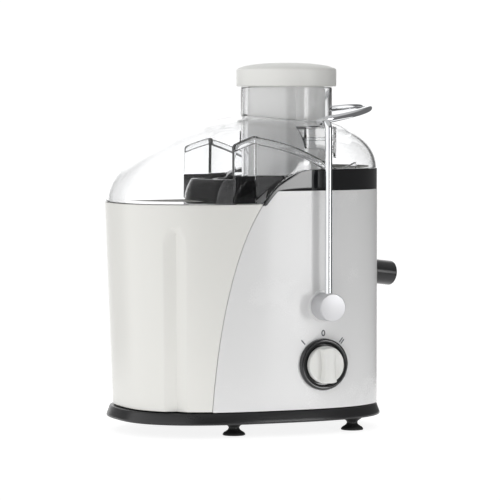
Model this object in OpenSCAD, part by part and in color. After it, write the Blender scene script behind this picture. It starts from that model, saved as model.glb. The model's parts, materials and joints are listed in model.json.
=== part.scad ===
// Centrifugal juicer. An oval body stands on a plinth with four suction feet: the right
// part is the motor housing with the juice bowl and its basket, the left part is a pulp
// container that slides out. A clear lid with a feed tube covers both, and a wire bail
// swings up over the lid's two ledges to clamp it.
// The front faces -Y, the juice spout is at +X and the pulp container is at -X.

/* [Body] */
// Length of the body's oval, left to right
body_length = 239; // [236:1:244]
// Depth of the body's oval, front to back
body_depth = 165; // [163:1:168]
// Squareness of the oval, where 2 is an ellipse
oval_power = 2.7; // [2.6:0.1:3]
// Wall of the two white shells
shell_wall = 3; // [2.6:0.1:3.2]
// Height of the white housing's top edge
housing_top = 213; // [211:1:215]
// Height of the pulp container's rim
container_top = 201.5; // [198:0.5:202]
// How far the container's left end stands out past the oval at its rim
container_bulge = 4; // [2:0.5:5]
// How far the container's left end leans in from its rim to its floor
container_lean = 7.5; // [4:0.5:9]
// Height of the bowl's top face, which the lid rests on
bowl_rim = 231.5; // [230:0.5:233]

/* [Plinth and feet] */
// Height of the suction feet below the plinth
foot_height = 11; // [10:0.5:12]
// Height of the plinth's top face
plinth_top = 21; // [20:0.5:22]
// How far the plinth flares out past the body
plinth_flare = 2.5; // [1:0.5:4]

/* [Bowl, lid and pusher] */
// Distance of the motor's axis right of the body's centre
axis_x = 41.5; // [40.5:0.5:42]
// Outer radius of the juice bowl
bowl_r = 67; // [66:0.5:68]
// Height of the clear dome's crown
dome_top = 278; // [276:1:282]
// Outer radius of the feed tube
tube_r = 41; // [40:0.5:42]
// Height of the feed tube's mouth
tube_top = 303.5; // [300:0.5:310]
// Radius of the pusher's body
pusher_r = 35; // [34:0.5:36]
// Radius of the pusher's cap
cap_r = 44.8; // [44:0.2:46]
// Reach of the juice spout past the body
spout_reach = 26; // [20:1:30]

/* [Bail and knob] */
// Height of the bail's pivot
pivot_z = 112; // [110:1:114]
// Radius of the bail's wire
wire_r = 3.15; // [2.8:0.05:3.4]
// Distance of the bail's legs from the middle plane
leg_y = 93.5; // [92:0.5:94]
// Height of the wire where it crosses the lid's ledges
bail_top = 273; // [272:0.5:275]
// Radius of the bail's round loop
loop_r = 68; // [66:0.5:70]
// Height of the speed knob's centre
knob_z = 61; // [58:1:64]
// Radius of the speed knob
knob_r = 17.2; // [16:0.2:18]

/* [Hidden] */
$fn = 64;

half_l = body_length / 2;
half_d = body_depth / 2;
spout_z = 139;
spout_half = 17;
spout_droop = 7;
spout_start = half_l - 12;
spout_length = spout_reach + 11.4;
spout_high = 11;
spout_end = spout_start + spout_length * cos(spout_droop) + spout_high * sin(spout_droop);
// The object's box is centred on X between the container's rim and the spout's mouth
frame_x = (half_l + container_bulge - spout_end) / 2;
outline_steps = 56;

// The seam between the container and the housing is part of an oval in the front view
seam_x = 38;
seam_z = -60;
seam_w = 100.5;
seam_h = bowl_rim - seam_z;
seam_power = 2.33;
seam_steps = 32;
seam_low = 197;

foot_xs = [-34.6, 78.6];
foot_y = 62;
foot_peg_r = 3.4;
screw_spots = [[-20, 73.5], [93, 51]];
screw_r = 1.5;

inlet_x = 48;
inlet_z = 40;

container_bottom = plinth_top + 1.5;
container_wall = 2.5;
container_gap = 0.7;
grip_x = -91.5;
grip_y = 65.5;
grip_turn = 40;
grip_top = 179;

deck_z = 121;
bowl_floor = 125;
bowl_wall = 2.5;
cup_top = 222;
duct_corner = [-12, 56];
duct_end = [-34, 61];
duct_half = duct_corner[1] - 2.3;
duct_top = 226;
duct_bottom = 203.5;
collar_r = 77.5;

lid_wall = 2.5;
lid_inset = 0.8;
lid_gap = 0.3;
tube_bottom = 175;
tube_wall = 2.5;
dome_rings = 8;
ledge_half = 15;

basket_low = 158;
basket_high = 214;
mesh_low_r = 50;
mesh_high_r = 57;
basket_r = 61.5;
cutter_r = 46;

pusher_bottom = 180;
cap_bottom = tube_top + 0.5;
cap_side = 15;
cap_dome = 6.5;
groove_turn = -8;

pin_r = 4;
pad_y = 82.2;
boss_r = 12.1;
boss_end = 103.6;
bend_r = 7;
loop_rise = 10;
bezel_r = 22.7;
bezel_face = 86;
knob_face = 91;

// Outline of the body's oval with half sizes a and b
function oval(a, b) =
    [for (i = [0 : outline_steps - 1])
        let (t = 360 * i / outline_steps, c = cos(t), s = sin(t))
        [a * sign(c) * pow(abs(c), 2 / oval_power), b * sign(s) * pow(abs(s), 2 / oval_power)]];

// The same outline with its left half stretched past the oval by bulge
function bulged(a, b, bulge) =
    [for (p = oval(a, b)) [p[0] < 0 ? p[0] * (a + bulge) / a : p[0], p[1]]];

// Height of the seam's curve above a distance x along the front
function seam_height(x) =
    let (u = min(1, max(0, (seam_x - x) / seam_w)))
    seam_z + seam_h * pow(1 - pow(u, seam_power), 1 / seam_power);

// Height of the lid's rim above a distance x along the front
function rim_height(x) = max(container_top + 0.5, seam_height(x)) + lid_gap;

function unit(v) = v / norm(v);
function lift(points, z) = [for (p = points) [p[0], p[1], z]];

// Moves a piece from the body's centre to the object's frame
module place() {
    translate([frame_x, 0, 0]) children();
}

module on_axis(z = 0) {
    translate([axis_x, 0, z]) children();
}

module both_sides() {
    children();
    mirror([0, 1, 0]) children();
}

module ring(outer, inner, height) {
    difference() {
        cylinder(r = outer, h = height);
        translate([0, 0, -1]) cylinder(r = inner, h = height + 2);
    }
}

// Closed solid through a list of rings, each anticlockwise from above and given from the
// bottom to the top
module skin(rings) {
    n = len(rings[0]);
    last = len(rings) - 1;
    sides = [for (i = [0 : last - 1], k = [0 : n - 1])
        let (a = i * n + k, b = i * n + (k + 1) % n)
        each [[a, a + n, b + n], [a, b + n, b]]];
    bottom = [for (k = [0 : n - 1]) k];
    top = [for (k = [n - 1 : -1 : 0]) last * n + k];
    polyhedron(points = [for (r = rings) each r], faces = concat([bottom, top], sides));
}

function tangent(path, i) = unit(path[min(i + 1, len(path) - 1)] - path[max(i - 1, 0)]);

// Normals carried along a path without twist, starting from n
function carried(path, n, i = 0) =
    i == len(path) ? [] :
    let (t = tangent(path, i), m = unit(n - (n * t) * t))
    concat([m], carried(path, m, i + 1));

module swept_rod(path, radius, sides) {
    normals = carried(path, [0.31, 0.2, 0.13]);
    skin([for (i = [0 : len(path) - 1])
        let (t = tangent(path, i), n = normals[i], b = cross(t, n))
        [for (k = [0 : sides - 1])
            let (a = 360 * k / sides)
            path[i] + radius * (cos(a) * n + sin(a) * b)]]);
}

// Vertical prism of the body's oval, grown or shrunk
module oval_block(low, high, grow = 0) {
    translate([0, 0, low]) linear_extrude(high - low) polygon(oval(half_l + grow, half_d + grow));
}

// Everything to the right of the seam and under the bowl's top face, grown or shrunk
module under_seam(grow = 0) {
    curve = [for (i = [0 : seam_steps])
        let (t = 90 * i / seam_steps)
        [seam_x - (seam_w + grow) * pow(cos(t), 2 / seam_power),
         seam_z + (seam_h + grow) * pow(sin(t), 2 / seam_power)]];
    far = half_l + 60;
    outline = concat(curve, [[far, bowl_rim + grow], [far, seam_z]]);
    rotate([90, 0, 0]) linear_extrude(3 * half_d, center = true) polygon(outline);
}

// Cylinder along Y through the knob's or the pivot's axis, from y = low to y = high
module across(z, low, high, radius) {
    translate([axis_x, low, z]) rotate([-90, 0, 0]) cylinder(r = radius, h = high - low);
}

module motor_housing() {
    color("gainsboro") place() difference() {
        union() {
            difference() {
                intersection() {
                    oval_block(plinth_top + 1, housing_top);
                    under_seam();
                }
                intersection() {
                    oval_block(plinth_top, housing_top + 1, -shell_wall);
                    under_seam(-shell_wall);
                }
            }
            intersection() {
                oval_block(deck_z, deck_z + 3, -shell_wall / 2);
                under_seam(-shell_wall / 2);
            }
            both_sides() across(pivot_z, half_d - 10, pad_y, 14);
            both_sides() for (p = screw_spots) intersection() {
                translate([p[0], p[1], plinth_top + 1]) cylinder(r = 8, h = 20);
                oval_block(plinth_top + 1, plinth_top + 30, -1);
            }
        }
        on_axis(deck_z - 1) cylinder(r = 16, h = 5);
        on_axis(deck_z + 3) cylinder(r = bowl_r + 1, h = 100);
        both_sides() across(pivot_z, half_d - 14, half_d + 5, pin_r + 0.05);
        both_sides() for (p = screw_spots)
            translate([p[0], p[1], plinth_top]) cylinder(r = screw_r, h = 16);
        across(knob_z, -half_d - 2, -half_d + 8, 8);
        translate([half_l - 14, -spout_half, bowl_floor - 0.5]) cube([20, 2 * spout_half, 100]);
        translate([inlet_x, half_d, inlet_z]) rotate([90, 0, 0]) cylinder(r = 5.3, h = 30, center = true);
        intersection() {
            translate([-half_l, -half_d - 1, seam_low]) cube([body_length, body_depth + 2, 30]);
            difference() {
                under_seam(1);
                under_seam(-shell_wall);
            }
        }
    }
}

module base_plinth() {
    levels = [[foot_height, plinth_flare - 0.6], [foot_height + 1.2, plinth_flare],
              [foot_height + 4, plinth_flare - 0.6], [plinth_top, -0.5]];
    color("#1b1b1c") place() difference() {
        union() {
            difference() {
                skin([for (l = levels) lift(oval(half_l + l[1], half_d + l[1]), l[0])]);
                oval_block(foot_height - 1, plinth_top - 3, -4);
            }
            for (x = foot_xs, y = [-foot_y, foot_y])
                translate([x, y, foot_height]) cylinder(r = 8.8, h = 9);
        }
        for (i = [-4 : 4]) {
            translate([axis_x + 7 * i - 1.5, -22, foot_height]) cube([3, 44, 20]);
        }
        for (x = foot_xs, y = [-foot_y, foot_y])
            translate([x, y, foot_height - 1]) cylinder(r = foot_peg_r + 0.05, h = 7.8);
        both_sides() for (p = screw_spots)
            translate([p[0], p[1], foot_height - 1]) cylinder(r = screw_r + 0.1, h = 20);
    }
}

// Suction foot: a soft cup with a narrow neck, a collar and a peg
module foot(x, y) {
    collar_z = foot_height - 0.1;
    profile = [[0, 3], [6, 1.5], [7.8, 0], [9.6, 0], [10, 0.5], [9, 2.6], [5.2, 5], [4.6, 7.5],
               [7, 9], [8.6, collar_z], [foot_peg_r, collar_z], [foot_peg_r, foot_height + 6.5],
               [0, foot_height + 6.5]];
    color("#111112") place() translate([x, y, 0]) rotate_extrude() polygon(profile);
}

module foot_front_left() {
    foot(foot_xs[0], -foot_y);
}

module foot_front_right() {
    foot(foot_xs[1], -foot_y);
}

module foot_rear_left() {
    foot(foot_xs[0], foot_y);
}

module foot_rear_right() {
    foot(foot_xs[1], foot_y);
}

// Screws that hold the housing down on the plinth
module base_screws() {
    color("silver") place() both_sides() for (p = screw_spots) translate([p[0], p[1], plinth_top - 5]) {
        cylinder(r = 3.5, h = 2);
        translate([0, 0, 1]) cylinder(r = screw_r, h = 16);
    }
}

module cord_inlet() {
    color("#1b1b1c") place() translate([inlet_x, half_d - 4, inlet_z]) rotate([-90, 0, 0]) difference() {
        union() {
            cylinder(r = 5.2, h = 6);
            translate([0, 0, 4.2]) cylinder(r = 8, h = 3.2);
        }
        translate([0, 0, -1]) cylinder(r = 3.6, h = 12);
    }
}

// Duct wall on the front side, from the bowl's collar out over the container
module duct_wall(low, high, thick) {
    run = [for (p = [duct_corner, duct_end]) [p[0], -p[1]]];
    length = norm(run[1] - run[0]);
    turn = atan2(run[1][1] - run[0][1], run[1][0] - run[0][0]);
    translate([run[0][0], run[0][1], low]) rotate([0, 0, turn])
        translate([-2.2, -thick / 2, 0]) cube([length + 2.2, thick, high - low]);
}

// Round collar between the duct's two corners, open towards the container
module collar(low, high) {
    difference() {
        on_axis(low) ring(collar_r, collar_r - bowl_wall, high - low);
        translate([axis_x - 100, -duct_half, low - 1]) cube([100, 2 * duct_half, high - low + 2]);
    }
}

// Flattened tube along the spout's axis, which droops towards its mouth
module spout_tube(x, half_width, half_height, length) {
    outline = [for (t = [0 : 15 : 345]) [half_height * cos(t), half_width * sin(t)]];
    translate([x, 0, spout_z]) rotate([0, 90 + spout_droop, 0]) linear_extrude(length) polygon(outline);
}

module juice_bowl() {
    color("#1c1c1e") place() difference() {
        union() {
            difference() {
                intersection() {
                    oval_block(seam_low, bowl_rim);
                    under_seam();
                }
                intersection() {
                    oval_block(seam_low - 1, bowl_rim, -bowl_wall);
                    under_seam(-bowl_wall);
                }
                intersection() {
                    translate([-half_l, -half_d - 1, 0])
                        cube([3 * half_l, body_depth + 2, housing_top]);
                    under_seam(-bowl_wall);
                }
            }
            difference() {
                union() {
                    intersection() {
                        collar(200, duct_top);
                        oval_block(200, duct_top, -1.5);
                    }
                    both_sides() duct_wall(duct_bottom, duct_top - 0.5, 2.2);
                }
                under_seam(-bowl_wall / 2);
            }
            on_axis(bowl_floor) cylinder(r = bowl_r, h = cup_top - bowl_floor);
            difference() {
                intersection() {
                    oval_block(bowl_floor, housing_top + 1);
                    translate([half_l - 13, -spout_half + 0.4, bowl_floor])
                        cube([20, 2 * spout_half - 0.8, 90]);
                }
                intersection() {
                    oval_block(bowl_floor - 1, housing_top - 3, -shell_wall);
                    translate([half_l - 14, -spout_half + 3, bowl_floor - 1])
                        cube([20, 2 * spout_half - 6, 90]);
                }
            }
            spout_tube(spout_start, 15.2, spout_high, spout_length);
        }
        on_axis(bowl_floor + bowl_wall) difference() {
            cylinder(r = bowl_r - bowl_wall, h = 120);
            translate([0, 0, -1]) cylinder(r = 18, h = 22);
        }
        on_axis(bowl_floor - 1) cylinder(r = 15.5, h = 40);
        spout_tube(axis_x + bowl_r - 12, 12.6, 8.8, 80);
    }
}

// Points of the lid's dome in direction i, at a share rho of the way out to the rim
function dome_point(i, rho, inset) =
    let (edge = bulged(half_l - lid_inset, half_d - lid_inset, container_bulge)[i],
         inner = bulged(half_l - lid_inset - inset, half_d - lid_inset - inset, container_bulge)[i],
         side = edge[0] / half_l,
         power = 2.6 + 0.85 * side,
         low = rim_height(edge[0]),
         top = dome_top - inset)
    [inner[0] * rho, inner[1] * rho, low + (top - low) * sqrt(max(0, 1 - pow(rho, power)))];

function dome_ring(rho, inset) = [for (i = [0 : outline_steps - 1]) dome_point(i, rho, inset)];

// Share of the way out at which ring k lies, closer together near the rim
function dome_share(k) = k == 0 ? 0.05 : sin(90 * k / dome_rings);

module dome_shell() {
    inside = [for (k = [0 : dome_rings]) dome_ring(dome_share(k), lid_wall)];
    outside = [for (k = [dome_rings : -1 : 0]) dome_ring(dome_share(k), 0)];
    skin(concat(inside, outside));
}

module dome_solid() {
    outside = [for (k = [dome_rings : -1 : 0]) dome_ring(dome_share(k), lid_wall / 2)];
    skin(concat([lift(oval(half_l - 20, half_d - 20), container_top - 10)], outside));
}

// Clear ledge that the bail's wire presses on, curved about the bail's pivot
module ledge() {
    top_r = bail_top - wire_r - 0.4 - pivot_z;
    intersection() {
        difference() {
            translate([axis_x - ledge_half, -76, 240]) cube([2 * ledge_half, 17, 40]);
            translate([axis_x - ledge_half + 2.5, -73.5, 230])
                cube([2 * ledge_half - 5, 20, top_r + pivot_z - 233]);
        }
        across(pivot_z, -80, -50, top_r);
    }
}

module lid() {
    color("white", 0.35) place() difference() {
        union() {
            difference() {
                dome_shell();
                under_seam(lid_gap);
            }
            intersection() {
                dome_solid();
                difference() {
                    union() {
                        collar(duct_top + lid_gap, 290);
                        both_sides() duct_wall(duct_top + lid_gap, 290, 2);
                    }
                    under_seam(lid_gap);
                }
            }
            both_sides() difference() {
                ledge();
                dome_solid();
            }
            on_axis(tube_bottom) cylinder(r = tube_r, h = tube_top - tube_bottom);
        }
        on_axis(tube_bottom - 1) cylinder(r = tube_r - tube_wall, h = tube_top - tube_bottom + 2);
    }
}

// Soft ring under the lid, on the bowl's top face
module lid_seal() {
    color("#d8d8d4") place() on_axis(bowl_rim) intersection() {
        ring(73.8, 71.8, 2);
        translate([2, -80, -1]) cube([80, 160, 4]);
    }
}

module stator_core() {
    color("dimgray") place() on_axis(52) difference() {
        intersection() {
            translate([-34, -29, 0]) cube([68, 58, 36]);
            cylinder(r = 40, h = 36);
        }
        translate([0, 0, -1]) cylinder(r = 21, h = 38);
        for (x = [-29, 29], y = [-24, 24]) translate([x * 0.9, y, -1]) cylinder(r = 2.1, h = 38);
        for (s = [-1, 1]) translate([s * 27 - 3.5, -16, -1]) cube([7, 32, 38]);
    }
}

// Two field coils that pass through the core's windows
module field_coils() {
    color("#a8642c") place() on_axis(46) for (s = [-1, 1]) difference() {
        union() {
            translate([s * 27 - 3, -15.5, 0]) cube([6, 31, 48]);
            translate([s * 27 - 4.5, -17, 0]) cube([9, 34, 5.5]);
            translate([s * 27 - 4.5, -17, 42.5]) cube([9, 34, 5.5]);
        }
        translate([s * 27 - 6, -2, 6]) cube([12, 4, 36]);
    }
}

// Bracket with a seat for a bearing, on four posts
module bracket(seat_z, post_low, post_high) {
    on_axis() {
        difference() {
            union() {
                translate([0, 0, seat_z]) cylinder(r = 13, h = 9);
                translate([-34, -8, seat_z]) cube([68, 16, 4]);
                translate([-8, -28, seat_z]) cube([16, 56, 4]);
                for (x = [-26.1, 26.1]) translate([x - 5, -28, seat_z]) cube([10, 56, 4]);
            }
            translate([0, 0, seat_z - 1]) cylinder(r = 4.6, h = 12);
            translate([0, 0, seat_z + 1.5]) cylinder(r = 9.5, h = 10);
            for (x = [-26.1, 26.1], y = [-24, 24]) translate([x, y, seat_z - 1]) cylinder(r = 2.1, h = 12);
        }
        for (x = [-26.1, 26.1], y = [-24, 24])
            translate([x, y, post_low]) ring(4, 2.1, post_high - post_low);
    }
}

module upper_bracket() {
    color("lightsteelblue") place() bracket(106, 88, 106);
}

module lower_bracket() {
    color("lightsteelblue") place() bracket(29, 33, 52);
}

module motor_bolts() {
    color("silver") place() on_axis() for (x = [-26.1, 26.1], y = [-24, 24]) translate([x, y, 25.5]) {
        cylinder(r = 2, h = 88);
        translate([0, 0, 84.6]) cylinder(r = 3.6, h = 3);
    }
}

// Rubber bushes between the lower bracket and the plinth
module motor_mounts() {
    color("#2a2a2a") place() on_axis(plinth_top) for (x = [-26.1, 26.1], y = [-24, 24])
        translate([x, y, 0]) ring(6, 2.1, 8);
}

module bearing(z) {
    on_axis(z) {
        ring(9.45, 7.6, 6);
        ring(5.6, 4.02, 6);
        for (a = [0 : 45 : 315]) rotate([0, 0, a]) translate([6.6, 0, 3]) sphere(r = 0.95);
    }
}

module upper_bearing() {
    color("silver") place() bearing(107.6);
}

module lower_bearing() {
    color("silver") place() bearing(30.6);
}

// Brass boxes that hold the two brushes against the commutator
module brush_holders() {
    color("goldenrod") place() on_axis(38.5) for (a = [0, 180]) rotate([0, 0, a]) difference() {
        translate([-4.5, 13, 0]) cube([9, 14, 9]);
        translate([-3, 12, 1.5]) cube([6, 14, 6]);
    }
}

module carbon_brushes() {
    color("#2f2f31") place() on_axis(40.1) for (a = [0, 180]) rotate([0, 0, a])
        translate([-2.9, 11.3, 0]) cube([5.8, 11, 5.8]);
}

// Lip seal that keeps juice off the motor, in the deck's hole
module shaft_seal() {
    color("#3a3a3c") place() on_axis(deck_z - 1.5) difference() {
        union() {
            cylinder(r = 15.9, h = 4);
            translate([0, 0, -0.8]) cylinder(r = 11, h = 2);
        }
        translate([0, 0, -2]) cylinder(r = 4.4, h = 10);
    }
}

module speed_switch() {
    color("#c9c4b4") place() difference() {
        translate([axis_x - 15, -half_d + 8, knob_z - 13]) cube([30, 16, 26]);
        across(knob_z, -half_d + 7, -half_d + 18, 3.05);
    }
}

// Glossy ring round the knob, let into the housing's front
module dial_bezel() {
    bush_r = 7.9;
    color("#0e0e0f") place() difference() {
        union() {
            difference() {
                across(knob_z, -bezel_face, -half_d + 14, bezel_r);
                oval_block(knob_z - 30, knob_z + 30, 0.02);
            }
            across(knob_z, -half_d - 1, -half_d + 7.6, bush_r);
        }
        across(knob_z, -bezel_face - 1, -bezel_face + 2.6, knob_r + 1.6);
        across(knob_z, -bezel_face - 1, -half_d + 9, 3.4);
    }
}

// Small switch that the front cam holds closed while the bail is up
module interlock_switch() {
    color("#26262a") place() {
        translate([axis_x - 10, -half_d + 7, pivot_z - 26]) cube([20, 7, 11]);
        translate([axis_x - 2, -half_d + 9.5, pivot_z - 15]) cube([4, 4, 1.6]);
    }
}

module noise_filter() {
    color("#d9c25a") place() translate([-38, -12, plinth_top + 3]) cube([14, 24, 18]);
}

// Wires from the inlet to the switch and the motor
module wiring() {
    runs = [[[inlet_x, half_d - 6, inlet_z], [46, 58, 34], [20, 44, 30], [-10, 30, 28], [-22, 9, 30]],
            [[-22, -9, 30], [-8, -40, 32], [14, -60, 44], [24.4, -64, 56]],
            [[axis_x + 10, -56, 52], [70, -48, 46], [82, -30, 44], [76, -8, 50]]];
    color("#9a2f2a") place() for (r = runs) swept_rod(r, 1.4, 8);
}

module motor_shaft() {
    color("silver") place() on_axis(27) cylinder(r = pin_r, h = 116);
}

module armature_core() {
    color("#55585c") place() on_axis(54) difference() {
        cylinder(r = 20.4, h = 32);
        translate([0, 0, -1]) cylinder(r = pin_r, h = 34);
        for (a = [0 : 30 : 330]) rotate([0, 0, a]) translate([15, -1.6, -1]) cube([4, 3.2, 34]);
    }
}

module armature_coils() {
    color("#b5702f") place() on_axis() {
        translate([0, 0, 86.1]) ring(18, 6, 6);
        translate([0, 0, 49]) ring(17, 6, 4.9);
        for (a = [0 : 30 : 330]) rotate([0, 0, a]) translate([15.1, -1.5, 53.5]) cube([3.6, 3, 33]);
    }
}

module commutator() {
    color("#b87333") place() on_axis(39) difference() {
        cylinder(r = 11, h = 9.5);
        translate([0, 0, -1]) cylinder(r = pin_r, h = 13);
        for (a = [0 : 30 : 330]) rotate([0, 0, a]) translate([10.2, -0.3, -1]) cube([2, 0.6, 13]);
    }
}

module cooling_fan() {
    color("#e6e2d6") place() on_axis(95) {
        ring(9, pin_r, 9.5);
        ring(23, 8, 1.6);
        for (a = [0 : 40 : 320]) rotate([0, 0, a]) translate([8.5, -0.8, 0]) cube([14, 1.6, 9.5]);
    }
}

// Toothed dog on top of the shaft that turns the basket
module drive_coupling() {
    color("#26262a") place() on_axis(129) difference() {
        union() {
            cylinder(r = 9, h = 24);
            for (a = [0 : 60 : 300]) rotate([0, 0, a]) translate([6, -2, 6]) cube([5.6, 4, 18]);
        }
        translate([0, 0, -1]) cylinder(r = pin_r, h = 15);
    }
}

module basket_base() {
    color("#e9e9e6") place() on_axis() difference() {
        union() {
            translate([0, 0, basket_low]) cylinder(r = mesh_low_r + 1.5, h = 4);
            translate([0, 0, 136]) ring(23, 20.5, basket_low - 135);
            translate([0, 0, 141]) ring(14.9, 11.9, basket_low - 140);
        }
        translate([0, 0, basket_low - 1]) cylinder(r = 3.1, h = 8);
    }
}

// Filtering wall of the basket, a steep cone of fine mesh
module basket_mesh() {
    color("silver") place() on_axis(basket_low + 4) difference() {
        cylinder(r1 = mesh_low_r, r2 = mesh_high_r, h = basket_high - basket_low - 4);
        translate([0, 0, -0.01])
            cylinder(r1 = mesh_low_r - 1, r2 = mesh_high_r - 1, h = basket_high - basket_low - 3.9);
    }
}

module basket_rim() {
    color("#e9e9e6") place() on_axis(basket_high) rotate_extrude() polygon([
        [mesh_high_r - 1.6, 0], [mesh_high_r + 1.4, 0], [mesh_high_r + 1.4, 3], [basket_r, 3],
        [basket_r, 5], [mesh_high_r - 1.6, 5]]);
}

// Grating disc with rows of raised teeth
module cutter_disc() {
    teeth_per_row = 6;
    color("silver") place() on_axis(basket_low + 4) {
        ring(cutter_r, 3.1, 1.5);
        for (k = [2 : 6], i = [0 : teeth_per_row - 1]) rotate([0, 0, 360 * i / teeth_per_row + 9 * k])
            translate([6.6 * k, 0, 1]) cylinder(r1 = 1.7, r2 = 0.6, h = 2.5);
    }
}

module basket_nut() {
    color("silver") place() on_axis() {
        translate([0, 0, 153.2]) cylinder(r = 3, h = basket_low - 147.7);
        translate([0, 0, basket_low + 5.5]) cylinder(r = 5, h = 3.4, $fn = 6);
    }
}

// Points of a bend from direction u to direction v, starting at p
function bend(p, u, v, r, steps = 6) =
    [for (k = [0 : steps]) let (t = 90 * k / steps) p + r * (sin(t) * u + (1 - cos(t)) * v)];

module bail_wire() {
    rise = tan(loop_rise);
    x_dir = [1, 0, rise];
    start = [axis_x, -leg_y, pivot_z + 6];
    half = concat(
        [start, start + [0, 0, 40], start + [0, 0, 80]],
        bend([axis_x, -leg_y, bail_top - bend_r], [0, 0, 1], [0, 1, 0], bend_r),
        bend([axis_x, -loop_r - bend_r, bail_top], [0, 1, 0], x_dir, bend_r),
        [for (t = [8 : 8 : 88])
            [axis_x + bend_r, 0, bail_top + bend_r * rise] + loop_r * (sin(t) * x_dir - [0, cos(t), 0])]);
    rear = [for (i = [len(half) - 1 : -1 : 0]) [half[i][0], -half[i][1], half[i][2]]];
    color("silver") place() swept_rod(concat(half, rear), wire_r, 12);
}

// Turned cap on the wire's end, with the shaft that runs in the housing's wall
module bail_cap() {
    difference() {
        union() {
            across(pivot_z, -boss_end, -pad_y - 0.3, boss_r);
            across(pivot_z, -pad_y - 1, -half_d + 16, pin_r);
        }
        translate([axis_x, -leg_y, pivot_z + 5.5]) cylinder(r = wire_r + 0.02, h = 20);
        across(pivot_z, -half_d + 12, -half_d + 17, 1.2);
    }
}

module bail_cap_front() {
    color("silver") place() bail_cap();
}

module bail_cap_rear() {
    color("silver") place() mirror([0, 1, 0]) bail_cap();
}

// Cam on the shaft's inner end, which keeps the cap in and works the switch
module bail_cam() {
    difference() {
        union() {
            across(pivot_z, -half_d + 10.4, -half_d + 14.4, 8);
            translate([axis_x - 3, -half_d + 10.4, pivot_z - 12.8]) cube([6, 4, 10]);
        }
        across(pivot_z, -half_d + 10, -half_d + 15, pin_r);
    }
}

module bail_cam_front() {
    color("#e6e2d6") place() bail_cam();
}

module bail_cam_rear() {
    color("#e6e2d6") place() mirror([0, 1, 0]) bail_cam();
}

module speed_knob() {
    color("white") place() difference() {
        union() {
            across(knob_z, -knob_face, -bezel_face + 2.2, knob_r);
            intersection() {
                translate([axis_x - 5, -knob_face - 8, knob_z - knob_r]) cube([10, 12, 2 * knob_r]);
                across(knob_z, -knob_face - 8, -bezel_face, knob_r - 0.6);
            }
        }
        across(knob_z, -knob_face + 2, -bezel_face + 3, 3);
    }
}

module switch_spindle() {
    color("silver") place() across(knob_z, -knob_face + 2, -half_d + 17, 3);
}

module pusher_body() {
    color("whitesmoke") place() on_axis(pusher_bottom) difference() {
        cylinder(r = pusher_r, h = cap_bottom - pusher_bottom);
        translate([0, 0, 3]) cylinder(r = pusher_r - 5, h = cap_bottom - pusher_bottom);
        rotate([0, 0, groove_turn]) translate([0, -pusher_r - 5.6, -1]) rotate([0, 0, 45])
            translate([-6, -6, 0]) cube([12, 12, 200]);
    }
}

module pusher_cap() {
    dome = [for (k = [0 : 6]) let (t = 15 * k) [(cap_r - 1.6) * cos(t), cap_side + cap_dome * sin(t)]];
    color("whitesmoke") place() on_axis(cap_bottom) rotate_extrude() polygon(concat(
        [[0, 0.1], [cap_r - 1.2, 0.1], [cap_r, 1.2], [cap_r, cap_side - 1]], dome));
}

// Outline of the container at a height, with its left end leaning in towards the floor
function container_ring(z, grow) =
    let (lean = container_lean * (container_top - z) / (container_top - container_bottom))
    lift(bulged(half_l + grow, half_d + grow, container_bulge - lean), z);

// Upright finger recess near the container's front corner
module grip(depth, top) {
    outline = [[-10, -20], [10, -20], [10, -depth], [8, -1.5], [0, 0], [-8, -1.5], [-10, -depth]];
    translate([grip_x, -grip_y, 0]) rotate([0, 0, -grip_turn]) translate([0, depth, 0])
        linear_extrude(top) polygon(outline);
}

module pulp_container() {
    color("#f0efe9") place() difference() {
        skin([container_ring(container_bottom, 0), container_ring(container_top, 0)]);
        under_seam(container_gap);
        difference() {
            skin([container_ring(container_bottom + 3, -container_wall),
                  container_ring(container_top + 1, -container_wall)]);
            under_seam(container_gap + container_wall);
            both_sides() grip(3.4 + container_wall, grip_top + 3);
        }
        both_sides() grip(3.4, grip_top);
        on_axis(100) cylinder(r = bowl_r + 1.5, h = 150);
    }
}

motor_housing();
base_plinth();
base_screws();
foot_front_left();
foot_front_right();
foot_rear_left();
foot_rear_right();
cord_inlet();
juice_bowl();
lid();
lid_seal();
stator_core();
field_coils();
upper_bracket();
lower_bracket();
motor_bolts();
motor_mounts();
upper_bearing();
lower_bearing();
brush_holders();
carbon_brushes();
shaft_seal();
speed_switch();
dial_bezel();
interlock_switch();
noise_filter();
wiring();
motor_shaft();
armature_core();
armature_coils();
commutator();
cooling_fan();
drive_coupling();
basket_base();
basket_mesh();
basket_rim();
cutter_disc();
basket_nut();
bail_wire();
bail_cap_front();
bail_cap_rear();
bail_cam_front();
bail_cam_rear();
speed_knob();
switch_spindle();
pusher_body();
pusher_cap();
pulp_container();
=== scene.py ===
"""Looks of a centrifugal juicer: smooth moulded shells, a clear lid, bright wire and real finishes.

Shapes are made in millimetres from the middle of the body on the table, with the front towards -Y,
the pulp container at -X and the juice spout at +X. Each finished piece is then put in the frame, in metres.
"""
import json
from math import acos, atan2, cos, hypot, pi, radians, sin, sqrt

import bmesh
import bpy
from mathutils import Matrix, Vector


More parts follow.
